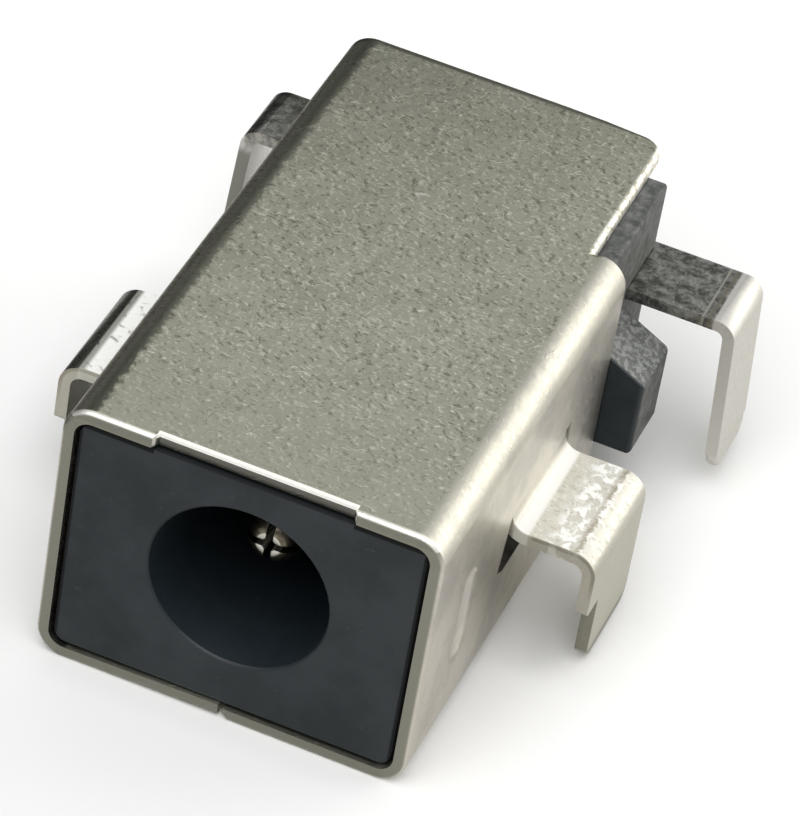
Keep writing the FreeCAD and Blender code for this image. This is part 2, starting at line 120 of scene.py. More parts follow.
bpy.ops.mesh.primitive_plane_add(size=FLOOR_SIZE, location=(0, 0, floor_level))
floor = bpy.context.object
floor.name = "floor"
floor_paint, nodes, links = plain_material("pale_floor")
floor_shader = nodes["Principled BSDF"]
floor_shader.inputs["Roughness"].default_value = FLOOR_ROUGHNESS
floor_shader.inputs["Specular IOR Level"].default_value = FLOOR_SHINE
ray_kind = nodes.new("ShaderNodeLightPath")
floor_tone = nodes.new("ShaderNodeMix")
floor_tone.data_type = "RGBA"
floor_tone.inputs["A"].default_value = FLOOR_SEEN
floor_tone.inputs["B"].default_value = FLOOR_MIRRORED
links.new(ray_kind.outputs["Is Glossy Ray"], floor_tone.inputs["Factor"])
links.new(floor_tone.outputs["Result"], floor_shader.inputs["Base Color"])
floor.data.materials.append(floor_paint)
print("floor at", round(floor_level / MM, 2), "mm")

# %% [markdown]
# ## Lamps
# Plated metal shows its surroundings more than its own colour, so the light is arranged
# for what each face mirrors. The top plate mirrors the room behind it, which is dim. The
# right fold mirrors a low strip light behind on the right and turns nearly white. The
# side wall and the front edges mirror the floor. The three lamps are large for so small
# a thing, which keeps every shadow soft, and a dim even sky fills the shadows.

# %% Lamps and sky
JACK_MIDDLE = Vector((0, 7 * MM, 0))
SKY_COLOUR, SKY_STRENGTH = (0.86, 0.88, 0.9, 1), 0.22


def lamp(name, towards, distance, width, height, power, colour=(1, 1, 1)):
    """A soft rectangular lamp, placed in a direction from the jack that it faces."""
    aim = Vector(towards).normalized()
    bpy.ops.object.light_add(type="AREA", location=JACK_MIDDLE + aim * distance)
    light = bpy.context.object
    light.name = name
    light.rotation_euler = aim.to_track_quat("Z", "Y").to_euler()
    light.data.shape = "RECTANGLE"
    light.data.size = width
    light.data.size_y = height
    light.data.energy = power
    light.data.color = colour


lamp("overhead", towards=(0.0, -0.42, 1.0), distance=0.30, width=0.34, height=0.34, power=1.05)
lamp("behind", towards=(-0.22, 0.75, 0.63), distance=0.45, width=0.55, height=0.40, power=0.25,
     colour=(1, 1, 0.97))
lamp("right_strip", towards=(0.68, 0.74, 0.36), distance=0.22, width=0.22, height=0.16,
     power=0.25, colour=(1, 0.97, 0.91))

world = bpy.data.worlds.new("studio")
world.use_nodes = True
bpy.context.scene.world = world
sky = world.node_tree.nodes["Background"]
sky.inputs["Color"].default_value = SKY_COLOUR
sky.inputs["Strength"].default_value = SKY_STRENGTH
bpy.context.scene.view_settings.view_transform = "Standard"

# %% [markdown]
# ## Dark cards
# A photographer puts black cards beside shiny things, to give them dark edges against a
# white room. Two cards on the left do that here for the left fold and for the bend of
# the left leg. Only mirrors see them: they throw no shadow and don't show themselves.

# %% Two cards
CARD_BLACK, CARD_ROUGHNESS = (0.03, 0.03, 0.03, 1), 0.9
ABOVE_FLOOR = 0.05 * MM

card_paint, nodes, links = plain_material("dark_card")
nodes["Principled BSDF"].inputs["Base Color"].default_value = CARD_BLACK
nodes["Principled BSDF"].inputs["Roughness"].default_value = CARD_ROUGHNESS


def dark_card(name, middle, width, height, facing):
    """A dark card that only mirrors see, with its middle and its facing given."""
    bpy.ops.mesh.primitive_plane_add(size=1, location=middle)
    card = bpy.context.object
    card.name = name
    card.scale = (width, height, 1)
    card.rotation_euler = Vector(facing).to_track_quat("Z", "Y").to_euler()
    card.visible_camera = False
    card.visible_diffuse = False
    card.visible_shadow = False
    card.data.materials.append(card_paint)
    print(name, round(width / MM), "x", round(height / MM), "mm")


dark_card("card_behind_left", middle=(-16 * MM, 25 * MM, 0),
          width=60 * MM, height=33 * MM, facing=(-0.75, 0.85, 0.0))
dark_card("card_on_floor_left", middle=(-40 * MM, 15 * MM, floor_level + ABOVE_FLOOR),
          width=52 * MM, height=70 * MM, facing=(0.0, 0.0, 1.0))

# %% [markdown]
# ## Rounding chosen edges
# Most edges of the jack get the same small rounding, but a few were worn or rolled
# harder, such as the edge of the notch. They are found by a test on the place of both
# ends, and bevelled in edit mode, before the small rounding goes over the rest.

# %% Round some edges more than others
SHARP = math.radians(32)


def round_over(piece, wanted, width, steps=3):
    """Round the sharp edges whose two ends both pass a test on their place in millimetres."""
    bpy.ops.mesh.select_mode(type="EDGE")
    bpy.ops.mesh.select_all(action="DESELECT")
    bpy.ops.mesh.edges_select_sharp(sharpness=SHARP)
    bpy.ops.object.mode_set(mode="OBJECT")
    mesh = piece.data
    for face in mesh.polygons:
        face.select = False
    for edge in mesh.edges:
        if not all(wanted(mesh.vertices[index].co / MM) for index in edge.vertices):
            edge.select = False
    chosen = [edge for edge in mesh.edges if edge.select]
    kept_ends = {index for edge in chosen for index in edge.vertices}
    for vertex in mesh.vertices:
        vertex.select = vertex.index in kept_ends
    bpy.ops.object.mode_set(mode="EDIT")
    bpy.ops.mesh.bevel(offset=width, segments=steps, affect="EDGES")
    print("rounded", len(chosen), "edges of", piece.name)


print("an edge counts as sharp from", round(math.degrees(SHARP)), "degrees")

# %% [markdown]
# ## Taking the pieces over
# A model from CAD has perfectly sharp edges, and real stamped or moulded parts never do:
# a press leaves a small rolled edge, a mould a small radius. A thin bevel on a copy of
# each piece gives the light something to catch. The copy's loose triangles are first
# merged and the flat ones joined, because a bevel needs whole faces to follow. Where a
# wider rounding ends it can leave a sliver, so near points are merged once more after it.

# %% A softened copy of a piece
SAME_POINT = 0.0005 * MM
SLIVER = 0.004 * MM
FLAT = math.radians(0.4)
SMOOTH_UNDER = math.radians(40)


def softened(node, name, width, steps=2, wider=()):
    """A copy of a node with a small bevel along its sharp edges, shown in its place."""
    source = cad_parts[node]
    piece = source.copy()
    piece.data = source.data.copy()
    piece.name = name
    piece.data.name = name
    bpy.context.collection.objects.link(piece)
    bpy.ops.object.select_all(action="DESELECT")
    piece.select_set(True)
    bpy.context.view_layer.objects.active = piece
    bpy.ops.object.mode_set(mode="EDIT")
    bpy.ops.mesh.select_all(action="SELECT")
    bpy.ops.mesh.remove_doubles(threshold=SAME_POINT)
    bpy.ops.mesh.dissolve_limited(angle_limit=FLAT)
    bpy.ops.mesh.normals_make_consistent(inside=False)
    for wanted, wide in wider:
        round_over(piece, wanted, wide)
    bpy.ops.mesh.select_all(action="SELECT")
    bpy.ops.mesh.remove_doubles(threshold=SLIVER)
    bpy.ops.object.mode_set(mode="OBJECT")
    bevel = piece.modifiers.new("soft_edges", "BEVEL")
    bevel.width = width
    bevel.segments = steps
    bevel.limit_method = "ANGLE"
    bevel.angle_limit = SHARP
    bevel.harden_normals = False
    bpy.ops.object.modifier_apply(modifier=bevel.name)
    bpy.ops.object.shade_smooth_by_angle(angle=SMOOTH_UNDER)
    flats = piece.modifiers.new("flat_faces_lead", "WEIGHTED_NORMAL")
    flats.keep_sharp = True
    bpy.ops.object.modifier_apply(modifier=flats.name)
    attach(piece, "root")
    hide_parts(node)
    print(name, "has", len(piece.data.polygons), "faces")
    return piece


def coat_with(piece, material):
    """Give a piece one material, in place of those that it came with."""
    piece.data.materials.clear()
    piece.data.materials.append(material)


print("pieces to soften:", len(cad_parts))

# %% [markdown]
# ## Sums for masks
# A finish is built from masks: numbers from 0 to 1 that say where something shows. Every
# sum on a mask is a Math node, and a material soon holds a hundred of them. A few small
# functions name what the sums mean, so that the finishes below read as plain sentences.

# %% Helpers: sums and masks


def is_socket(value):
    """Whether a value comes out of a node, and isn't a number or a colour."""
    return isinstance(value, bpy.types.NodeSocket)


def work_out(tree, operation, *values):
    """One sum on values that are numbers or sockets."""
    node = tree.nodes.new("ShaderNodeMath")
    node.operation = operation
    for value, socket in zip(values, node.inputs):
        if is_socket(value):
            tree.links.new(value, socket)
        else:
            socket.default_value = value
    return node.outputs[0]


def times_plus(tree, value, factor, added):
    """A value times a factor, plus something."""
    return work_out(tree, "MULTIPLY_ADD", value, factor, added)


def apart(tree, value, middle):
    """How far a value is from a middle one, on either side."""
    return work_out(tree, "ABSOLUTE", work_out(tree, "SUBTRACT", value, middle))


def spread(tree, value, low, high, to=(0.0, 1.0)):
    """The value between two limits, spread softly over two others, and held there."""
    ramp = tree.nodes.new("ShaderNodeMapRange")
    ramp.interpolation_type = "SMOOTHSTEP"
    for label, number in (("From Min", low), ("From Max", high),
                          ("To Min", to[0]), ("To Max", to[1])):
        ramp.inputs[label].default_value = number
    tree.links.new(value, ramp.inputs["Value"])
    return ramp.outputs["Result"]


def under(tree, value, limit):
    """The mask of where a value is under a limit."""
    return work_out(tree, "LESS_THAN", value, limit)


def over(tree, value, limit):
    """The mask of where a value is over a limit."""
    return work_out(tree, "GREATER_THAN", value, limit)


def where_all(tree, first, *others):
    """The places that every one of some masks holds."""
    for other in others:
        first = work_out(tree, "MULTIPLY", first, other)
    return first


def where_any(tree, first, *others):
    """The places that at least one of some masks holds."""
    for other in others:
        first = work_out(tree, "MAXIMUM", first, other)
    return first


def where_not(tree, mask):
    """The places that a mask leaves out."""
    return work_out(tree, "SUBTRACT", 1.0, mask)


print("helpers: sums and masks")

# %% [markdown]
# ## Places, noise, colour and bump
# Masks start from the place of a point on the piece, read as Object coordinates, so that
# a finish stays where it is from whichever side the jack is seen. Noise breaks up what
# the masks give, as handling and the press do. Colours are laid over each other like
# coats of paint, each through its own mask.

# %% Helpers: places, noise, colour and bump


def place_of(tree):
    """The place of a point, and the side, depth and height that it is made of."""
    here = tree.nodes.new("ShaderNodeTexCoord").outputs["Object"]
    split = tree.nodes.new("ShaderNodeSeparateXYZ")
    tree.links.new(here, split.inputs[0])
    return here, *split.outputs


def from_middle(tree, side):
    """How far a point is from the middle plane of the jack, on either side."""
    return work_out(tree, "ABSOLUTE", side)


def noise(tree, vector, scale, detail=3.0, roughness=0.6, distortion=0.0):
    """A noise texture; its scale, in features per metre, is a number or a socket."""
    texture = tree.nodes.new("ShaderNodeTexNoise")
    texture.inputs["Distortion"].default_value = distortion
    texture.inputs["Detail"].default_value = detail
    texture.inputs["Roughness"].default_value = roughness
    tree.links.new(vector, texture.inputs["Vector"])
    if is_socket(scale):
        tree.links.new(scale, texture.inputs["Scale"])
    else:
        texture.inputs["Scale"].default_value = scale
    return texture.outputs["Fac"]


def blend_colour(tree, share, first, second):
    """Two colours mixed by a share; each is a colour or a socket."""
    node = tree.nodes.new("ShaderNodeMix")
    node.data_type = "RGBA"
    tree.links.new(share, node.inputs["Factor"])
    for label, value in (("A", first), ("B", second)):
        if is_socket(value):
            tree.links.new(value, node.inputs[label])
        else:
            node.inputs[label].default_value = (*value, 1)
    return node.outputs["Result"]


def painted(tree, colour, *coats):
    """A colour under coats that go on in order, each a mask and the colour it brings."""
    for mask, coat in coats:
        colour = blend_colour(tree, mask, colour, coat)
    return colour


def bump(tree, height, strength, depth):
    """A bump that feeds the shader's normal."""
    node = tree.nodes.new("ShaderNodeBump")
    node.inputs["Strength"].default_value = strength
    node.inputs["Distance"].default_value = depth
    tree.links.new(height, node.inputs["Height"])
    tree.links.new(node.outputs["Normal"], tree.nodes["Principled BSDF"].inputs["Normal"])


print("helpers: places, noise, colour and bump")

# %% [markdown]
# ## Grain of the plating
# Tin plating on stamped sheet is not smooth. It is cloudy, finely sandy, and carries short
# wavy marks that each catch light on one side and shade on the other. An effect like this
# belongs in a node group, which can be placed in a material with its own size of grain.
# It gives out a tone, a mask of bright specks and a height for the bump. Light from one
# side is drawn by the difference of two looks at the same noise, one a little aside. The
# wavy marks are thin contour lines of a noise, kept only where a second noise is high.

# %% Node group: plated grain
GRAIN_STRETCH = (0.84, 1.08, 1.0)
LOOK_ASIDE = 0.034 * MM
COARSER = 0.42
CLOUDS, CONTOURS, PATCHES = 700.0, 1900.0, 2600.0
MIDDLE = 0.5
LINE_WIDTH, PATCH_CUT, SPECK_CUT = (0.03, 0.004), (0.50, 0.60), (0.64, 0.74)
LIT_SIDES, SHADED_SIDES = (0.065, 0.18), (-0.075, -0.19)
MARK_LIGHT, MARK_HEIGHT = 0.6, 0.22
CLOUD_SHARE, MEDIUM_SHARE, LIT_SHARE = 0.45, 0.25, 0.5
COARSE_SAND, FINE_SAND, SAND_HEIGHT = 0.6, 0.4, 0.8

plated_grain = bpy.data.node_groups.new("plated_grain", "ShaderNodeTree")
plated_grain.interface.new_socket("Grains per metre", in_out="INPUT",
                                  socket_type="NodeSocketFloat").default_value = 11000.0
for label in ("Tone", "Specks", "Height"):
    plated_grain.interface.new_socket(label, in_out="OUTPUT", socket_type="NodeSocketFloat")
per_metre = plated_grain.nodes.new("NodeGroupInput").outputs["Grains per metre"]
given = plated_grain.nodes.new("NodeGroupOutput").inputs

here = plated_grain.nodes.new("ShaderNodeTexCoord").outputs["Object"]
stretched = plated_grain.nodes.new("ShaderNodeVectorMath")
stretched.operation = "MULTIPLY"
stretched.inputs[1].default_value = GRAIN_STRETCH
plated_grain.links.new(here, stretched.inputs[0])
along = stretched.outputs["Vector"]
aside = plated_grain.nodes.new("ShaderNodeVectorMath")
aside.inputs[1].default_value = (LOOK_ASIDE, LOOK_ASIDE, LOOK_ASIDE)
plated_grain.links.new(along, aside.inputs[0])

fine = noise(plated_grain, along, per_metre, detail=2.0, roughness=0.55, distortion=0.5)
fine_aside = noise(plated_grain, aside.outputs["Vector"], per_metre,
                   detail=2.0, roughness=0.55, distortion=0.5)
medium = noise(plated_grain, here, work_out(plated_grain, "MULTIPLY", per_metre, COARSER))
cloud = noise(plated_grain, here, CLOUDS, detail=4.0)

contour = noise(plated_grain, here, CONTOURS, detail=2.0, roughness=0.5, distortion=0.8)
thin_lines = spread(plated_grain, apart(plated_grain, contour, MIDDLE), *LINE_WIDTH)
patches = noise(plated_grain, here, PATCHES, detail=2.0, roughness=0.5)
marks = where_all(plated_grain, thin_lines, spread(plated_grain, patches, *PATCH_CUT))

emboss = work_out(plated_grain, "SUBTRACT", fine, fine_aside)
lit = work_out(plated_grain, "SUBTRACT", spread(plated_grain, emboss, *LIT_SIDES),
               spread(plated_grain, emboss, *SHADED_SIDES))
lit = times_plus(plated_grain, marks, MARK_LIGHT, lit)
from_medium = work_out(plated_grain, "SUBTRACT", medium, MIDDLE)
from_medium = work_out(plated_grain, "MULTIPLY", from_medium, MEDIUM_SHARE)
from_cloud = work_out(plated_grain, "SUBTRACT", cloud, MIDDLE)
uneven = times_plus(plated_grain, from_cloud, CLOUD_SHARE, from_medium)
tone = times_plus(plated_grain, lit, LIT_SHARE, work_out(plated_grain, "ADD", uneven, MIDDLE))

sand = times_plus(plated_grain, medium, COARSE_SAND,
                  work_out(plated_grain, "MULTIPLY", fine, FINE_SAND))
sand = work_out(plated_grain, "MULTIPLY", sand, SAND_HEIGHT)
plated_grain.links.new(tone, given["Tone"])
plated_grain.links.new(spread(plated_grain, fine, *SPECK_CUT), given["Specks"])
plated_grain.links.new(times_plus(plated_grain, marks, MARK_HEIGHT, sand), given["Height"])
print("plated grain group has", len(plated_grain.nodes), "nodes")

# %% [markdown]
# ## Shell: the plate, the folds and the walls
# The shell is the same plated sheet all over, but the press has worked some of it harder.
# The walls were rubbed smooth by the folding tool, and so was part of the right fold. The
# left fold gets a painted shade, darker than the plate for the dark that it mirrors, with a
# ragged edge where it meets the sandy plate. Each pair of numbers below says where such a
# zone begins and where it is full.

# %% Zones of the plate, the folds and the walls
GRAINS_PER_METRE, SCRAPES_PER_METRE = 6600.0, 4200.0
WALL_SIDE, WALL_TOP = (3.9 * MM, 4.2 * MM), (2.8 * MM, 2.5 * MM)
LEG_SIDE = (4.52 * MM, 4.66 * MM)
RIGHT_FOLD, RIGHT_FOLD_RUBBED = (3.72 * MM, 3.95 * MM), 0.7
LEFT_FOLD_INNER, LEFT_FOLD_OUTER = (-3.70 * MM, -3.86 * MM), (-4.18 * MM, -3.96 * MM)
RAGGED_REACH = 0.26 * MM

shell_plating, nodes, links = plain_material("shell_plating")
tree = shell_plating.node_tree
shader = nodes["Principled BSDF"]
grain = nodes.new("ShaderNodeGroup")
grain.node_tree = plated_grain
grain.inputs["Grains per metre"].default_value = GRAINS_PER_METRE
here, side, depth, height = place_of(tree)
away = from_middle(tree, side)
scrape = noise(tree, here, SCRAPES_PER_METRE, detail=4.0, roughness=0.65, distortion=0.6)

leg_zone = spread(tree, away, *LEG_SIDE)
wall_zone = where_all(tree, spread(tree, away, *WALL_SIDE), spread(tree, height, *WALL_TOP),
                      where_not(tree, leg_zone))
right_fold = spread(tree, side, *RIGHT_FOLD)
rubbed_smooth = where_any(tree, wall_zone,
                          work_out(tree, "MULTIPLY", right_fold, RIGHT_FOLD_RUBBED))
ragged = times_plus(tree, scrape, 2 * RAGGED_REACH, side)
inner_edge = [edge + RAGGED_REACH for edge in LEFT_FOLD_INNER]
# painted shade: the left fold is coloured darker for the dark that it mirrors
left_fold_painted_shade = where_all(tree, spread(tree, ragged, *inner_edge),
                      spread(tree, side, *LEFT_FOLD_OUTER))
print("shell zones so far take", len(nodes), "nodes")

# %% [markdown]
# ## Shell: the legs
# The legs were lanced out of the walls by the punch, so they are brighter and rougher
# than the top. The concave bend by the wall gets a painted white highlight. Before the bend it has
# white flakes, more of them on the left leg, and on the right leg a brownish line where the bend
# starts. The outside of the bend is drawn out smooth. The bend of the left leg, the inner face of
# each leg below its level part and the undersides of the feet get a painted shade.

# %% Zones of the legs
ROOT = (4.98 * MM, 4.88 * MM)
FLAKES_START, FLAKES_END = (5.12 * MM, 5.55 * MM), 6.12 * MM
FLAKE_CUT, MORE_FLAKES = (0.48, 0.54), 0.12
BROWN_LINE_AT, BROWN_LINE_HALF, BROWN_LINE_WOBBLE = 6.06 * MM, 0.12 * MM, 0.2 * MM
BROWN_LINE_SHARE = 0.7
OUTER = (6.48 * MM, 6.58 * MM)
LEFT_BEND = (-5.98 * MM, -6.1 * MM)
FOOT_SHADE_LEVELS = (-3.3 * MM, -3.42 * MM)
LEG_INSIDE, LEG_UNDER = (6.36 * MM, 6.34 * MM), -0.31 * MM

left_side = under(tree, side, 0.0)
# painted highlight: the concave bend at the root of each leg is coloured white
root = where_all(tree, leg_zone, spread(tree, away, *ROOT))
flake_zone = where_all(tree, spread(tree, away, *FLAKES_START),
                       spread(tree, away, FLAKES_END + BROWN_LINE_HALF, FLAKES_END))
more_on_left = times_plus(tree, left_side, MORE_FLAKES, scrape)
flakes = where_all(tree, spread(tree, more_on_left, *FLAKE_CUT), flake_zone)
wobbled = times_plus(tree, scrape, 2 * BROWN_LINE_WOBBLE, away)
from_line = apart(tree, wobbled, BROWN_LINE_AT + BROWN_LINE_WOBBLE)
brown_line = spread(tree, from_line, BROWN_LINE_HALF, 0.0, to=(0.0, BROWN_LINE_SHARE))
brown_line = where_all(tree, brown_line, where_not(tree, left_side))
outer = spread(tree, away, *OUTER)
# painted shade: the bend of the left leg is coloured dark for the dark that it mirrors
left_bend_painted_shade = spread(tree, side, *LEFT_BEND)
# painted shade on the undersides of the feet
feet_painted_shade = spread(tree, height, *FOOT_SHADE_LEVELS)
# painted shade: the inner face of each leg, below its level part, faces the body
leg_inside_painted_shade = where_all(tree, spread(tree, away, *LEG_INSIDE), under(tree, height, LEG_UNDER))
print("with the legs, shell zones take", len(nodes), "nodes")

# %% [markdown]
# ## Shell: worn and cut edges
# Where the die cut the sheet, bare metal shows a duller face, and edges that stick out
# are worn bright and carry a painted highlight as well. The front edge of the plate, the
# notch and the long cut beside the tongue are such edges; the last one is chafed in spots.
# The rim that faces the plug and the rear edge lie in shade and carry a dark tone.

# %% Zones of the plate's edges
RIM = (0.03 * MM, 0.0)
FRONT_ROUND, PLATE_LEVEL = (0.17 * MM, 0.12 * MM), 3.1 * MM
NOTCH_HALF, NOTCH_LEVEL, NOTCH_CUT_TOP = 2.36 * MM, 3.0 * MM, 3.265 * MM
NOTCH_BACK = (0.32 * MM, 0.28 * MM)
TONGUE_CUT, BEHIND_WALL = (3.44 * MM, 3.52 * MM), (11.36 * MM, 11.42 * MM)
CHAFED_CUT, CHAFED_SHARE = (0.52, 0.44), 0.7
REAR_EDGE = (16.1 * MM, 16.22 * MM)

rim = spread(tree, depth, *RIM)
front_round = where_all(tree, spread(tree, depth, *FRONT_ROUND), over(tree, height, PLATE_LEVEL))
in_notch = where_all(tree, under(tree, away, NOTCH_HALF), over(tree, height, NOTCH_LEVEL),
                     spread(tree, depth, *NOTCH_BACK))
notch_round = where_all(tree, in_notch, over(tree, height, NOTCH_CUT_TOP))
notch_cut = work_out(tree, "SUBTRACT", in_notch, notch_round)
tongue_cut = where_all(tree, spread(tree, side, *TONGUE_CUT), spread(tree, depth, *BEHIND_WALL))
chafed = where_all(tree, tongue_cut, spread(tree, scrape, *CHAFED_CUT, to=(0.0, CHAFED_SHARE)))
# worn metal and a painted highlight on the edges that stick out
worn_and_painted_highlight = where_any(tree, front_round, tongue_cut, notch_round)
rear_edge = spread(tree, depth, *REAR_EDGE)
print("with the plate's edges, shell zones take", len(nodes), "nodes")

# %% [markdown]
# ## Shell: the cut edges of the legs
# The front face of each leg is a cut face too, and its pin below the shoulder, which lies in
# shade, gets a painted shade darker than the face above. A thin brown burr runs round the
# outer corner of that face, which the punch left there. It follows the bend, so its mask is
# the distance from the bend's middle.

# %% Zones of the legs' cut edges
LEG_CUT = (5.20 * MM, 5.17 * MM)
PIN_CUT, PIN_CUT_UNDER = (5.95 * MM, 5.92 * MM), -1.7 * MM
BEND_MIDDLE_SIDE, BEND_MIDDLE_HEIGHT = 6.03 * MM, -0.6 * MM
BURR, BURR_FADE = (0.49 * MM, 0.54 * MM), (-1.3 * MM, -0.5 * MM)
BURR_START, BURR_SHARE = (4.98 * MM, 5.08 * MM), 0.6

pin_cut = where_all(tree, spread(tree, depth, *PIN_CUT), under(tree, height, PIN_CUT_UNDER))
leg_cut = where_all(tree, leg_zone, where_any(tree, pin_cut, spread(tree, depth, *LEG_CUT)))
past_side = work_out(tree, "MAXIMUM", work_out(tree, "SUBTRACT", away, BEND_MIDDLE_SIDE), 0.0)
past_level = work_out(tree, "MAXIMUM", work_out(tree, "SUBTRACT", height, BEND_MIDDLE_HEIGHT), 0.0)
from_bend = times_plus(tree, past_side, past_side,
                       work_out(tree, "MULTIPLY", past_level, past_level))
from_bend = work_out(tree, "SQRT", from_bend)
burr = where_all(tree, leg_cut, spread(tree, from_bend, *BURR), spread(tree, away, *BURR_START),
                 spread(tree, height, *BURR_FADE, to=(0.0, BURR_SHARE)))
print("with the legs' cuts, shell zones take", len(nodes), "nodes")

# %% [markdown]
# ## Shell: colour
# Tin is a warm grey. The plate runs between two greys by the tone of the grain, which is
# calmer near the front and on the right fold, and the other zones go over it as coats.
# The walls have soft smudges, and the painted shade on the left fold gets paler towards the back.

# %% Colours of the shell
PLATE_DARK, PLATE_LIGHT = (0.31, 0.313, 0.244), (0.81, 0.81, 0.675)
PLATE_SPECK = (0.92, 0.91, 0.82)
PAINTED_FOLD_SHADE_FRONT, PAINTED_FOLD_SHADE_BACK, FOLD_SHADE_FADES = (0.15, 0.152, 0.12), (0.27, 0.272, 0.22), (0.0, 8 * MM)
WALL_CLEAN, WALL_SMUDGED = (0.71, 0.685, 0.62), (0.60, 0.58, 0.54)
WORN_EDGE_AND_HIGHLIGHT, CHAFED = (0.98, 0.97, 0.90), (0.46, 0.43, 0.32)
REAR_SHADE, NOTCH_FACE = (0.22, 0.22, 0.18), (0.19, 0.19, 0.165)
LEG_DARK, LEG_LIGHT, LEG_OUTER = (0.72, 0.705, 0.63), (0.95, 0.94, 0.88), (0.60, 0.59, 0.53)
FLAKE, BROWN, PAINTED_FOOT_SHADE = (1.0, 1.0, 0.97), (0.42, 0.38, 0.28), (0.40, 0.39, 0.35)
PAINTED_LEFT_BEND_SHADE, PAINTED_INSIDE_SHADE = (0.34, 0.34, 0.305), (0.36, 0.37, 0.31)
PAINTED_ROOT_HIGHLIGHT, CUT_FACE, PIN_CUT_PAINTED_SHADE = (1.0, 0.99, 0.95), (0.58, 0.57, 0.50), (0.36, 0.355, 0.30)
BURR_BROWN, RIM_TONE = (0.30, 0.275, 0.21), (0.31, 0.31, 0.265)
SANDY_BACK, SANDY_FRONT_SHARE, CALMER_FOLD = 5.0 * MM, 0.5, -0.8
SMUDGES_PER_METRE, SMUDGE_CUT = 520.0, (0.44, 0.60)

calmer = where_all(tree, spread(tree, depth, 0.0, SANDY_BACK, to=(SANDY_FRONT_SHARE, 1.0)),
                   times_plus(tree, right_fold, CALMER_FOLD, 1.0))
sandy = work_out(tree, "SUBTRACT", grain.outputs["Tone"], MIDDLE)
sandy = times_plus(tree, sandy, calmer, MIDDLE)
# painted shade on the left fold, paler towards the back
painted_fold_shade = blend_colour(tree, spread(tree, depth, *FOLD_SHADE_FADES), PAINTED_FOLD_SHADE_FRONT, PAINTED_FOLD_SHADE_BACK)
smudge = noise(tree, here, SMUDGES_PER_METRE, detail=5.0, roughness=0.7)
wall_tone = blend_colour(tree, spread(tree, smudge, *SMUDGE_CUT), WALL_CLEAN, WALL_SMUDGED)
body_colour = painted(tree, blend_colour(tree, sandy, PLATE_DARK, PLATE_LIGHT),
                      (grain.outputs["Specks"], PLATE_SPECK), (left_fold_painted_shade, painted_fold_shade),
                      (rubbed_smooth, wall_tone), (worn_and_painted_highlight, WORN_EDGE_AND_HIGHLIGHT), (chafed, CHAFED),
                      (rear_edge, REAR_SHADE), (notch_cut, NOTCH_FACE))
leg_colour = painted(tree, blend_colour(tree, grain.outputs["Tone"], LEG_DARK, LEG_LIGHT),
                     (outer, LEG_OUTER), (flakes, FLAKE), (brown_line, BROWN), (feet_painted_shade, PAINTED_FOOT_SHADE),
                     (left_bend_painted_shade, PAINTED_LEFT_BEND_SHADE), (leg_inside_painted_shade, PAINTED_INSIDE_SHADE), (root, PAINTED_ROOT_HIGHLIGHT))
colour = painted(tree, body_colour, (leg_zone, leg_colour), (leg_cut, CUT_FACE),
                 # painted shade on the front face of each leg's pin
                 (where_all(tree, leg_zone, pin_cut), PIN_CUT_PAINTED_SHADE), (burr, BURR_BROWN),
                 (rim, RIM_TONE))
links.new(colour, shader.inputs["Base Color"])
print("with its colours the shell's plating has", len(nodes), "nodes")

# %% [markdown]
# ## Shell: gloss and relief
# Bright grains are a little glossier than dark ones, and scraped or worn metal is rougher.
# The painted highlight at the legs' roots and the flaked metal scatter light like white paint, so
# there the metal look is taken down. The bump is the grain's height, calm on the rubbed walls,
# with scrapes on the legs.

# %% Gloss and relief of the shell
GRAIN_ROUGHNESS, SCRAPED_ROUGHER = (0.44, 0.34), 0.16
LEFT_BEND_GLOSSIER, RIGHT_FOLD_ROUGHER, WALL_GLOSSIER = -0.24, 0.06, -0.08
DULLEST_METAL, FLAKES_DULL, LEFT_FLAKES_DULLER = 0.12, 0.75, 0.5
CALMER_WALL = -0.8
RELIEF_STRENGTH, RELIEF_DEPTH = 0.8, 0.02 * MM

dull = where_any(tree, root, spread(tree, flakes, 0.0, 1.0, to=(0.0, FLAKES_DULL)))
dull = times_plus(tree, where_all(tree, flakes, left_side), LEFT_FLAKES_DULLER, dull)
dull = where_any(tree, dull, notch_round)
links.new(spread(tree, dull, 0.0, 1.0, to=(1.0, DULLEST_METAL)), shader.inputs["Metallic"])

roughness = work_out(tree, "ADD",
                     spread(tree, grain.outputs["Tone"], 0.0, 1.0, to=GRAIN_ROUGHNESS),
                     spread(tree, where_any(tree, leg_zone, worn_and_painted_highlight), 0.0, 1.0,
                            to=(0.0, SCRAPED_ROUGHER)))
for zone, change in ((left_bend_painted_shade, LEFT_BEND_GLOSSIER), (right_fold, RIGHT_FOLD_ROUGHER),
                     (wall_zone, WALL_GLOSSIER)):
    roughness = times_plus(tree, zone, change, roughness)
links.new(roughness, shader.inputs["Roughness"])

calm = times_plus(tree, wall_zone, CALMER_WALL, 1.0)
relief = times_plus(tree, grain.outputs["Height"], calm, where_all(tree, scrape, flake_zone))
bump(tree, relief, RELIEF_STRENGTH, RELIEF_DEPTH)
print("the shell's plating has", len(nodes), "nodes in all")

# %% [markdown]
# ## Shell: the piece
# The folded shell takes the finish. Two of its edges stick out and catch light as a
# broad bright line, widened by the painted highlight of the worn edges: the upper edge of
# the notch, and the cut edge along the tongue.

# %% The folded shell
# the tests get places in millimetres, the roundings are lengths in metres
PLATE_TOP, NOTCH_DEPTH, TONGUE_SIDE, WALL_END = 3.35, 0.2, 3.0, 11.3
NEAR = 0.001
SHELL_EDGE, NOTCH_EDGE, TONGUE_EDGE = 0.035 * MM, 0.09 * MM, 0.14 * MM


def on_notch_edge(point):
    """On the upper edge of the shallow notch in the front of the plate."""
    return point.z > PLATE_TOP - NEAR and abs(point.y - NOTCH_DEPTH) < NEAR


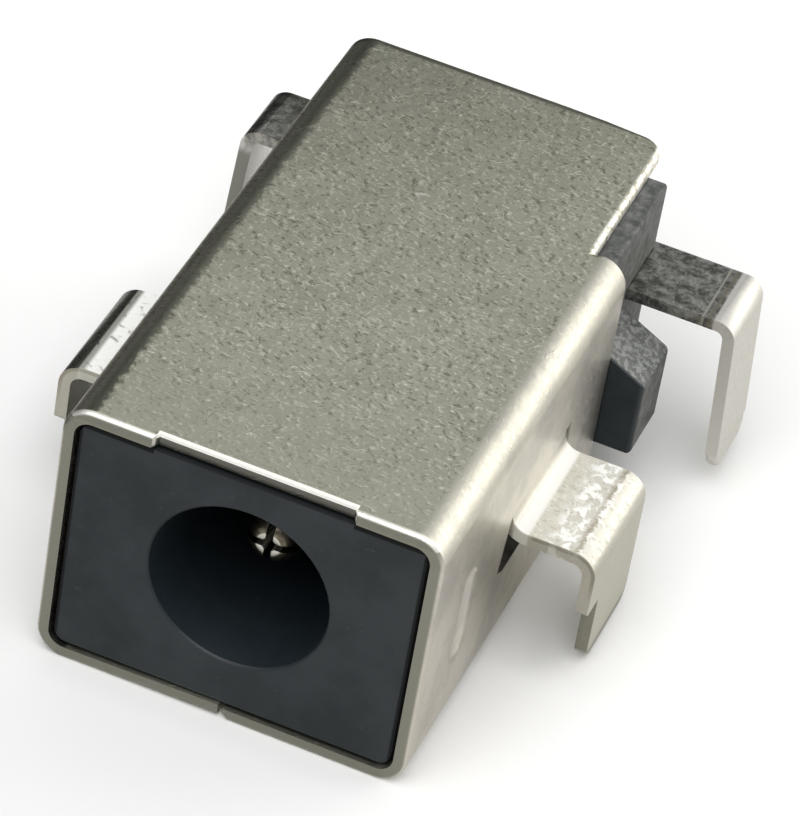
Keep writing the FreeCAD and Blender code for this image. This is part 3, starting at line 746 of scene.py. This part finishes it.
def on_tongue_edge(point):
    """On the upper edge along the cut right side of the tongue."""
    return point.z > PLATE_TOP - NEAR and point.x > TONGUE_SIDE and point.y > WALL_END


shell = softened("shell", "folded_shell", SHELL_EDGE,
                 wider=((on_notch_edge, NOTCH_EDGE), (on_tongue_edge, TONGUE_EDGE)))
coat_with(shell, shell_plating)

# %% [markdown]
# ## Moulded insulator
# The insulator is a glass filled plastic, charcoal with a faint blue, moulded in a tool
# with a fine eroded surface. Its face is clean and dark. Behind the shell's edge the
# block and the lugs are paler and mottled, and the sloping tops of the lugs are speckled
# and lightened by a painted sheen. Where the face goes in under the shell it gets a painted
# shade, nearly black. Masks by place tell these apart, and the colour, the roughness and the
# bump share the noises.

# %% Material: moulding
BEHIND_EDGE_DEPTH = (11.45 * MM, 11.52 * MM)
INSIDE_SHELL, UNDER_PLATE = (3.99 * MM, 4.06 * MM), (2.90 * MM, 2.97 * MM)
BESIDE_NOTCH_LOWER = 0.11 * MM
LUG_FACE = 11.38 * MM
LUG_TOP, LUG_SIDE, LUG_BACK = 0.80 * MM, 5.4 * MM, 13.14 * MM
FACE_DARK, FACE_LIGHT = (0.008, 0.014, 0.018), (0.014, 0.022, 0.027)
FACE_SPECK, PAINTED_GAP_SHADE = (0.03, 0.036, 0.038), (0.002, 0.003, 0.004)
BEHIND_EDGE_DARK, BEHIND_EDGE_LIGHT = (0.045, 0.049, 0.048), (0.16, 0.165, 0.16)
LUG_SPECK_AND_SHEEN = (0.30, 0.31, 0.30)
CLOUD_CUT, SPECKS_CUT, BLOTCH_CUT = (0.35, 0.65), (0.66, 0.74), (0.36, 0.68)
LUG_CUT, LUG_SHARE = (0.44, 0.62), (0.2, 1.0)
CLOUD_GLOSS, FACE_ROUGHNESS = (0.3, 0.7), (0.60, 0.46)
ERODED_STRENGTH, ERODED_DEPTH = 0.4, 0.012 * MM

moulding, nodes, links = plain_material("charcoal_moulding")
tree = moulding.node_tree
shader = nodes["Principled BSDF"]
here, side, depth, height = place_of(tree)
away = from_middle(tree, side)
fine = noise(tree, here, 8000.0)
cloud = noise(tree, here, 450.0, detail=4.0)
blotch = noise(tree, here, 3200.0, detail=6.0, roughness=0.8)

behind_edge = spread(tree, depth, *BEHIND_EDGE_DEPTH)
# speckles with a painted sheen over the sloping tops of the lugs
lug_top_painted_sheen = where_all(tree, under(tree, height, LUG_TOP), under(tree, away, LUG_SIDE),
                    under(tree, depth, LUG_BACK), spread(tree, fine, *LUG_CUT, to=LUG_SHARE))
lowered = times_plus(tree, over(tree, away, NOTCH_HALF), BESIDE_NOTCH_LOWER, height)
# painted shade where the moulding goes in under the shell
tucked_painted_shade = where_any(tree, spread(tree, away, *INSIDE_SHELL), spread(tree, lowered, *UNDER_PLATE))
tucked_painted_shade = where_all(tree, tucked_painted_shade, under(tree, depth, LUG_FACE))

face = blend_colour(tree, spread(tree, cloud, *CLOUD_CUT), FACE_DARK, FACE_LIGHT)
face = painted(tree, face, (spread(tree, fine, *SPECKS_CUT), FACE_SPECK),
               (tucked_painted_shade, PAINTED_GAP_SHADE))
mottled = blend_colour(tree, spread(tree, blotch, *BLOTCH_CUT), BEHIND_EDGE_DARK, BEHIND_EDGE_LIGHT)
mottled = painted(tree, mottled, (lug_top_painted_sheen, LUG_SPECK_AND_SHEEN))
links.new(blend_colour(tree, behind_edge, face, mottled), shader.inputs["Base Color"])
even = spread(tree, cloud, *CLOUD_GLOSS, to=FACE_ROUGHNESS)
links.new(work_out(tree, "MAXIMUM", even, tucked_painted_shade), shader.inputs["Roughness"])
bump(tree, fine, ERODED_STRENGTH, ERODED_DEPTH)
print("the moulding's finish has", len(nodes), "nodes")

# %% The moulded housing
HOUSING_EDGE = 0.04 * MM

housing = softened("housing", "moulded_housing", HOUSING_EDGE)
coat_with(housing, moulding)

# %% [markdown]
# ## Terminals
# The two solder terminals are stamped from smoother strip than the shell. Their level
# arms are dull and mottled. On the right one a dark line shows where the bend begins,
# and a light scratch before it. The bends and legs are clean and bright, and the narrow
# front face of each leg is cut metal. The bends stand at different distances from the
# middle, so one function makes a material for each terminal. The left terminal's arm and
# leg are given lighter tones than the right one's, a painted light for how it lies to the lamps.

# %% Material: terminal plating
ARM_FADE = 0.3 * MM
LINE_HALF = 0.07 * MM
SCRATCH_BEFORE, SCRATCH_HALF = 0.24 * MM, 0.05 * MM
STRIP_FRONT = (13.37 * MM, 13.34 * MM)
DARK_LINE, LIGHT_SCRATCH = (0.32, 0.285, 0.22), (0.68, 0.67, 0.60)
ARM_ROUGHNESS, LEG_ROUGHNESS = 0.30, 0.5
MOTTLE_CUT, LEG_CLOUD_CUT, LEG_DARKER = (0.38, 0.66), (0.4, 0.6), 0.94
ARM_STRENGTH, ARM_DEPTH = 0.4, 0.02 * MM


def strip_plating(name, bend_at, arm_bottom, leg_tone, cut_tone, arm_tones, line_share):
    """Plating of a terminal: mottled arm, line and scratch, clean bend and leg, cut edge."""
    material, nodes, links = plain_material(name)
    tree = material.node_tree
    shader = nodes["Principled BSDF"]
    shader.inputs["Metallic"].default_value = 1.0
    here, side, depth, height = place_of(tree)
    away = from_middle(tree, side)
    mottle = noise(tree, here, 2600.0, detail=7.0, roughness=0.78, distortion=0.3)
    fine = noise(tree, here, 9000.0, detail=2.0, roughness=0.5)

    below = spread(tree, height, arm_bottom, arm_bottom - ARM_FADE)
    clean = where_any(tree, spread(tree, away, bend_at, bend_at + LINE_HALF), below)
    front_cut = where_all(tree, below, spread(tree, depth, *STRIP_FRONT))
    on_arm = where_not(tree, below)
    from_line = apart(tree, away, bend_at - LINE_HALF)
    line = where_all(tree, spread(tree, from_line, LINE_HALF, 0.0, to=(0.0, line_share)), on_arm)
    from_scratch = apart(tree, away, bend_at - SCRATCH_BEFORE)
    scratch = where_all(tree, on_arm,
                        spread(tree, from_scratch, SCRATCH_HALF, 0.0, to=(0.0, line_share)))

    arm = blend_colour(tree, spread(tree, mottle, *MOTTLE_CUT), *arm_tones)
    leg = blend_colour(tree, spread(tree, fine, *LEG_CLOUD_CUT),
                       [LEG_DARKER * part for part in leg_tone], leg_tone)
    leg = painted(tree, leg, (front_cut, cut_tone))
    colour = painted(tree, arm, (clean, leg), (line, DARK_LINE), (scratch, LIGHT_SCRATCH))
    links.new(colour, shader.inputs["Base Color"])
    links.new(spread(tree, clean, 0.0, 1.0, to=(ARM_ROUGHNESS, LEG_ROUGHNESS)),
              shader.inputs["Roughness"])
    bump(tree, where_all(tree, mottle, where_not(tree, clean)), ARM_STRENGTH, ARM_DEPTH)
    print(name, "has", len(nodes), "nodes")
    return material


# painted light: the left terminal's arm and leg tones are lighter than the right one's
left_plating = strip_plating("left_strip_plating", bend_at=5.75 * MM, arm_bottom=1.30 * MM,
                             leg_tone=(0.97, 0.97, 0.94), cut_tone=(0.42, 0.42, 0.38),
                             arm_tones=((0.20, 0.198, 0.178), (0.80, 0.79, 0.74)),
                             line_share=0.0)
right_plating = strip_plating("right_strip_plating", bend_at=6.24 * MM, arm_bottom=0.85 * MM,
                              leg_tone=(0.77, 0.76, 0.72), cut_tone=(0.77, 0.76, 0.72),
                              arm_tones=((0.12, 0.12, 0.11), (0.58, 0.58, 0.54)),
                              line_share=0.8)

# %% The two terminals
SOLDER_LEG_FOOT = -2.7
STRIP_EDGE, FOOT_EDGE = 0.03 * MM, 0.09 * MM


def on_solder_foot(point):
    """At the foot of a solder leg."""
    return point.z < SOLDER_LEG_FOOT


left_terminal = softened("pin_terminal", "pin_terminal_strip", STRIP_EDGE,
                         wider=((on_solder_foot, FOOT_EDGE),))
coat_with(left_terminal, left_plating)
right_terminal = softened("barrel_spring", "barrel_spring_strip", STRIP_EDGE,
                          wider=((on_solder_foot, FOOT_EDGE),))
coat_with(right_terminal, right_plating)

# %% [markdown]
# ## Centre pin
# The pin is turned brass with nickel over it, so it is smoother than anything stamped and
# a little warmer. Deep in the socket it lies in shade, and its colour there is a painted
# shade; only its nose gets a painted highlight, which a mask by the distance from the pin's
# axis finds. Fine turning marks run round it; a wave along its length, with some distortion,
# draws them as a bump.

# %% Material: pin plating
NOSE_RING = (0.33 * MM, 0.28 * MM)
PAINTED_SHADE_DARK, PAINTED_SHADE_LIGHT = (0.09, 0.08, 0.06), (0.26, 0.23, 0.175)
PAINTED_NOSE_HIGHLIGHT = (0.85, 0.83, 0.76)
PAINTED_SHADE_CUT, PIN_CLOUD_GLOSS, PIN_ROUGHNESS = (0.4, 0.65), (0.3, 0.7), (0.40, 0.26)
TURNS_PER_METRE, TURNS_WANDER = 5500.0, 1.5
TURNED_STRENGTH, TURNED_DEPTH = 0.15, 0.006 * MM

pin_plating, nodes, links = plain_material("pin_plating")
tree = pin_plating.node_tree
shader = nodes["Principled BSDF"]
shader.inputs["Metallic"].default_value = 1.0
here, side, _, height = place_of(tree)
pin_cloud = noise(tree, here, 2500.0)
turning_marks = nodes.new("ShaderNodeTexWave")
turning_marks.bands_direction = "Y"
turning_marks.inputs["Scale"].default_value = TURNS_PER_METRE
turning_marks.inputs["Distortion"].default_value = TURNS_WANDER
links.new(here, turning_marks.inputs["Vector"])

radius = times_plus(tree, height, height, work_out(tree, "MULTIPLY", side, side))
radius = work_out(tree, "SQRT", radius)
# painted shade over the pin, and a painted highlight on the ring of its nose
painted_socket_shade = blend_colour(tree, spread(tree, pin_cloud, *PAINTED_SHADE_CUT), PAINTED_SHADE_DARK, PAINTED_SHADE_LIGHT)
colour = painted(tree, painted_socket_shade, (spread(tree, radius, *NOSE_RING), PAINTED_NOSE_HIGHLIGHT))
links.new(colour, shader.inputs["Base Color"])
links.new(spread(tree, pin_cloud, *PIN_CLOUD_GLOSS, to=PIN_ROUGHNESS), shader.inputs["Roughness"])
bump(tree, turning_marks.outputs["Fac"], TURNED_STRENGTH, TURNED_DEPTH)
print("the pin's plating has", len(nodes), "nodes")

# %% The slotted pin
PIN_EDGE = 0.02 * MM

pin = softened("centre_pin", "slotted_pin", PIN_EDGE)
coat_with(pin, pin_plating)
